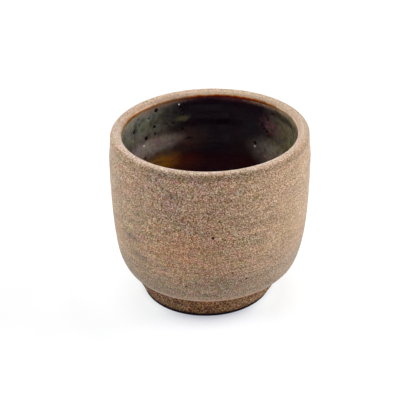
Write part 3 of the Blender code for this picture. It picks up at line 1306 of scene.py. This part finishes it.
def pit_tree():
    """A pit round every point of another object."""
    given = new_tree("pressed_pits", Object=["Pits"], Float=["Radius", "Depth"])
    pits = put("GeometryNodeObjectInfo", {"Object": given["Pits"]})["Geometry"]
    away = put("GeometryNodeProximity", {0: pits}, target_element="POINTS")["Distance"]
    dent = fade(maths("DIVIDE", away, given["Radius"]), PIT_FLAT, 1.0, 1.0, 0.0)
    normal = put("GeometryNodeInputNormal")["Normal"]
    offset = scaled(normal, times(dent, given["Depth"], -1.0))
    sunk = put("GeometryNodeSetPosition", {"Geometry": given["Geometry"], "Offset": offset})
    return end_tree(sunk["Geometry"], given["Material"])


PITS = pit_tree()


def press_pits(piece, places, radius, depth):
    """Sink a pit into the piece at each place."""
    dots = bpy.data.meshes.new("pit_places")
    dots.from_pydata(places, [], [])
    marker = new_piece("pit_places", dots)
    run_tree(piece, PITS, Pits=marker, Radius=radius, Depth=depth, Material=piece.data.materials[0])
    bpy.data.objects.remove(marker)
    print(piece.name, len(places), "pits")


pit_places = [on_wall(INSIDE, angle, height) * MM for angle, height, radius in PINHOLES]
press_pits(glaze, pit_places, PIT_RADIUS, PIT_DEPTH)

# %% [markdown]
# ## The rust edge
#
# Where the glaze thins out on the lip its iron turns rust brown. It could be painted on the lining,
# but a narrow bead of its own catches the light along its top. It's maroon at its foot and pale at
# its top behind, browner at the quarters, and greyest on both flanks. Three rows of colour run up
# the bead, and the place from left to right chooses between them.

# %% Rust glaze
EDGE_TOP = edge_high.z / MM
LIFTS = ((0, 12, -0.15), (-26, -34, -0.5), (-3, -13, 0.22), (26, 31, 0.22))  # mm from, mm to, lift


def rust_finish():
    """Satin rust brown."""
    material, place = finish("rust_glaze")
    x, _, z = xyz(stirred(place, size=2, amount=1.0))
    up = put("ShaderNodeMapRange", {"Value": z, "From Min": EDGE, "From Max": EDGE_TOP})["Result"]
    for start, end, lift in LIFTS:
        up = maths("ADD", up, fade(x, start, end, 0.0, lift))
    back = ramp(
        up,
        (0.00, (0.085, 0.003, 0.001)),
        (0.35, (0.165, 0.017, 0.003)),
        (0.58, (0.270, 0.086, 0.016)),
        (0.78, (0.320, 0.165, 0.080)),
        (1.00, (0.380, 0.268, 0.185)),
    )
    quarter = ramp(
        up,
        (0.00, (0.110, 0.040, 0.011)),
        (0.20, (0.160, 0.054, 0.009)),
        (0.45, (0.225, 0.078, 0.012)),
        (0.64, (0.265, 0.112, 0.038)),
        (0.82, (0.325, 0.190, 0.112)),
        (1.00, (0.360, 0.255, 0.178)),
    )
    flank = ramp(
        up,
        (0.00, (0.200, 0.145, 0.085)),
        (0.35, (0.190, 0.125, 0.068)),
        (0.60, (0.240, 0.165, 0.100)),
        (1.00, (0.360, 0.265, 0.190)),
    )
    flank = scaled(flank, fade(x, -33, 33, 0.85, 1.15))
    outer = maths("MAXIMUM", fade(x, -4, -16), fade(x, 15, 27))
    outmost = maths("MAXIMUM", fade(x, -31, -35), fade(x, 25, 33))
    colour = over(outmost, over(outer, back, quarter), flank)
    cloud = noise(place, 1 / 4, detail=3.0)
    spots = noise(place, 1 / 1.4)
    uneven = times(about_one(cloud, swing=1.0), about_one(spots, swing=1.4))
    return wear(
        material,
        Base_Color=scaled(colour, uneven),
        Roughness=fade(cloud, 0.3, 0.7, 0.55, 0.35),
        Specular_IOR_Level=0.03,
        Normal=bumped(cloud, strength=0.3, depth=0.2 * MM),
    )


RUST_GLAZE = rust_finish()

# %% Turn the rust edge
OVERLAP = 0.1 * MM
BEAD = 0.06 * MM
EDGE_END_ANGLE = GLAZE_END_ANGLE - 0.05


def edge_line():
    """The profile of the bead, which stands a hair proud of the glaze and the lip."""
    foot_of_edge = Vector((LIP_OUTER_RADIUS - LIP_THICKNESS, EDGE_BOTTOM - OVERLAP))
    face = joined(
        straight(foot_of_edge, LIP_CENTRE - Vector((LIP_ROUND, 0)), FINE),
        arc(LIP_CENTRE, LIP_ROUND, math.pi, EDGE_END_ANGLE, FINE),
    )
    back = set_back(face, GLAZE_THICKNESS)
    return joined(set_back(face, -BEAD), back[::-1])


edge = turned(
    "rust_edge", edge_line(), RUST_GLAZE, is_ring=True, segments=480, slip=BOWL_SLIP,
    rings=(0.02, 2.0), dimples=(0.12, 2.5), seed=(0.5, 0.1, 0.3),
)

# %% [markdown]
# ## Floor and light
#
# The photograph was taken in a light tent: white all round, so there are no hard shadows and the wall
# brightens towards both sides. A white world stands for the tent, and three soft lamps add light from
# above and from both sides, more of it from the right. The floor glows a little, so it burns out to
# white the way the photograph's floor does. The glow is painted light, dimmest close to the foot, so
# the faint shadow round the foot is partly painted into it and partly cast.

# %% Floor
FLOOR_SIDE = 6.0
GLOW_REACH = 130
# Painted light and shadow: the glow dips close to the foot, peaks just beyond it and fades far away.
GLOW_BEFORE = (  # mm from the foot's middle, glow
    (27, (0.31, 0.32, 0.37)),
    (29, (0.41, 0.425, 0.47)),
    (31, (0.47, 0.485, 0.52)),
    (34, (0.49, 0.505, 0.54)),
    (43, (0.37, 0.38, 0.40)),
    (57, (0.25, 0.25, 0.25)),
    (85, (0.11, 0.11, 0.11)),
    (GLOW_REACH, (0.03, 0.03, 0.03)),
)
GLOW_BESIDE = (  # mm from the foot's middle, glow
    (26, (0.47, 0.49, 0.50)),
    (27.5, (0.55, 0.575, 0.575)),
    (29, (0.58, 0.60, 0.605)),
    (31, (0.535, 0.55, 0.555)),
    (34, (0.45, 0.475, 0.475)),
    (38, (0.39, 0.405, 0.41)),
    (57, (0.20, 0.21, 0.22)),
    (75, (0.12, 0.125, 0.13)),
    (GLOW_REACH, (0.03, 0.03, 0.03)),
)


def floor_finish():
    """White paper that glows, its glow dimmest by the foot as a painted shadow: one row of colours
    before and behind the cup, one beside it.
    """
    material, place = finish("floor_white")
    x, y, _ = xyz(place)
    away = vector("DISTANCE", place, FOOT_MIDDLE)
    outward = maths("DIVIDE", away, GLOW_REACH)
    before = ramp(outward, *[(mm / GLOW_REACH, glow) for mm, glow in GLOW_BEFORE])
    beside = ramp(outward, *[(mm / GLOW_REACH, glow) for mm, glow in GLOW_BESIDE])
    sideways = maths("SUBTRACT", maths("ABSOLUTE", x), maths("ABSOLUTE", y))
    glow = over(fade(sideways, -16, 7), before, beside)
    far = scaled(WHITE, fade(away, 350, 1200, 0.0, 0.55))
    return wear(
        material,
        Base_Color=(0.46, 0.46, 0.46),
        Roughness=1.0,
        Specular_IOR_Level=0.0,
        Emission_Color=vector("ADD", glow, far),
        Emission_Strength=1.0,
    )


half = FLOOR_SIDE / 2
floor_corners = [(-half, -half, 0), (half, -half, 0), (half, half, 0), (-half, half, 0)]
floor_mesh = bpy.data.meshes.new("studio_floor")
floor_mesh.from_pydata(floor_corners, [], [(0, 1, 2, 3)])
floor_mesh.materials.append(floor_finish())
floor = new_piece("studio_floor", floor_mesh)
print("floor", FLOOR_SIDE, "m wide")

# %% Light
LAMPS = (  # name, place in metres, side in metres, watts
    ("top_lamp", (0.0, 0.15, 0.9), 0.8, 8.0),
    ("right_lamp", (0.85, 0.15, 0.42), 0.7, 8.0),
    ("left_lamp", (-0.85, 0.15, 0.36), 0.7, 5.0),
)
world = bpy.data.worlds.new("light_tent")
bpy.context.scene.world = world
world.use_nodes = True
tent = world.node_tree.nodes["Background"]
tent.inputs["Color"].default_value = (*WHITE, 1)
tent.inputs["Strength"].default_value = 1.0

for name, place, side, watts in LAMPS:
    data = bpy.data.lights.new(name, "AREA")
    data.shape = "SQUARE"
    data.size = side
    data.energy = watts
    lamp = new_piece(name, data)
    lamp.location = place
    lamp.rotation_euler = (cup_middle - Vector(place)).to_track_quat("-Z", "Y").to_euler()
bpy.context.scene.view_settings.view_transform = "Standard"
print(len(LAMPS), "lamps in a white tent")

# %% [markdown]
# ## Hand over
#
# Each piece rides on the pot's only body and stands for the measured piece that it shows, which is
# hidden.

# %% Hand over the pieces
for piece, node_name, slot_name in (
    (bowl, "bowl", "stoneware"),
    (foot, "foot_ring", "foot_clay"),
    (glaze, "interior_glaze", "dark_glaze"),
    (edge, "glaze_edge", "rust_glaze"),
):
    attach(piece, "root")
    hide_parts(node_name)
for piece, slot_name in ((bowl_grog, "stoneware"), (foot_grog, "foot_clay")):
    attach(piece, "root")
